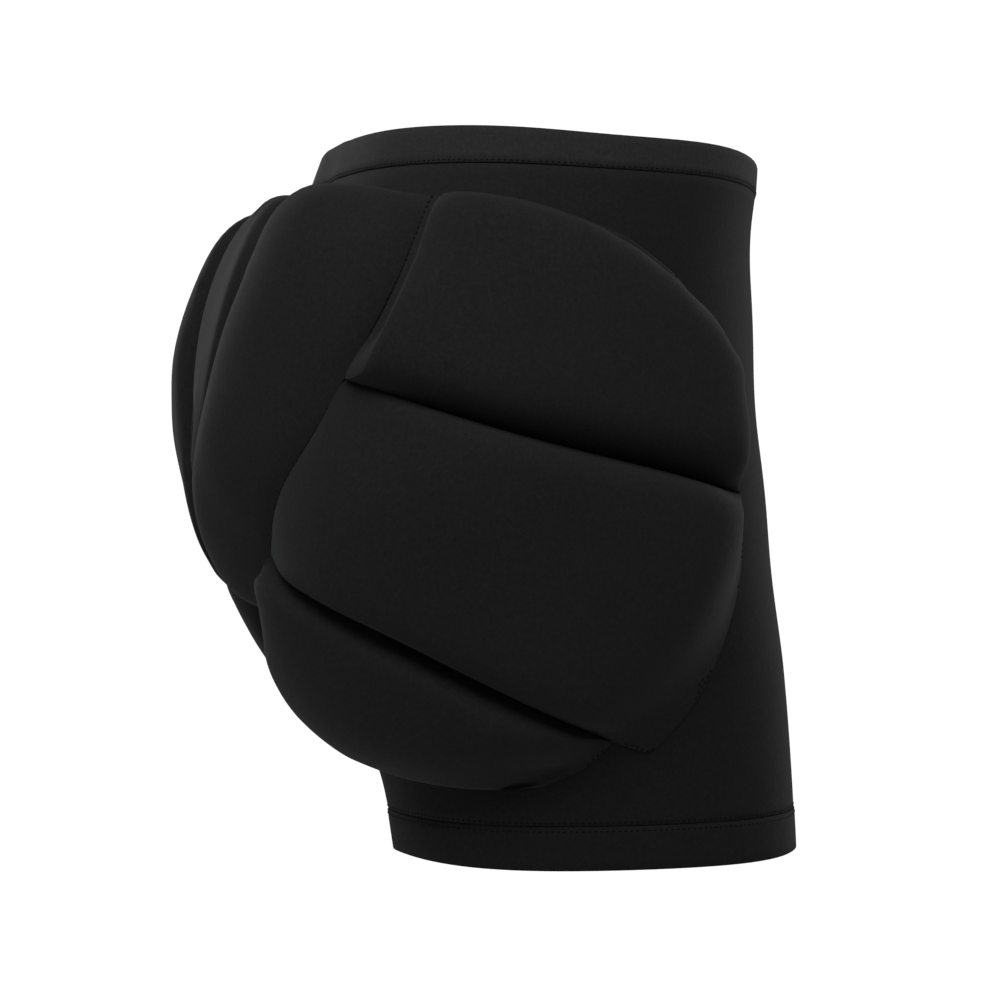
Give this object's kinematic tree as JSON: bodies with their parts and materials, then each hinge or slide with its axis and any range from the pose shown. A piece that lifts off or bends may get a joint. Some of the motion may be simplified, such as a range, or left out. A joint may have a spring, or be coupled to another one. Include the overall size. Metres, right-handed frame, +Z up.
{
  "type": "padded hip shorts",
  "caption": "Close-fitting padded hip shorts with foam pads over the hips, seat, tailbone and thighs, held in their worn shape.",
  "frame": {"origin": "centre of the waist opening, level with the waist edge at the sides", "axes": "+Z up along the wearer's body, -Y towards the wearer's front, -X towards the wearer's right"},
  "size_m": [0.3834, 0.3305, 0.3406],
  "materials": {
    "waistband_elastic": "near-black ribbed elastic under stretch cloth, matte",
    "stretch_cloth": "near-black fine stretch knit, matte",
    "pad_cover": "near-black fine stretch knit stretched over foam, matte"
  },
  "bodies": {
    "root": {"waistband": "waistband_elastic", "cloth_right": "stretch_cloth", "cloth_left": "stretch_cloth", "leg_hem_right": "stretch_cloth", "leg_hem_left": "stretch_cloth", "tailbone_pad": "pad_cover", "seat_pad_right": "pad_cover", "seat_pad_left": "pad_cover", "hip_pad_upper_right": "pad_cover", "hip_pad_upper_left": "pad_cover", "hip_pad_middle_right": "pad_cover", "hip_pad_middle_left": "pad_cover", "thigh_pad_right": "pad_cover", "thigh_pad_left": "pad_cover"}
  },
  "joints": []
}
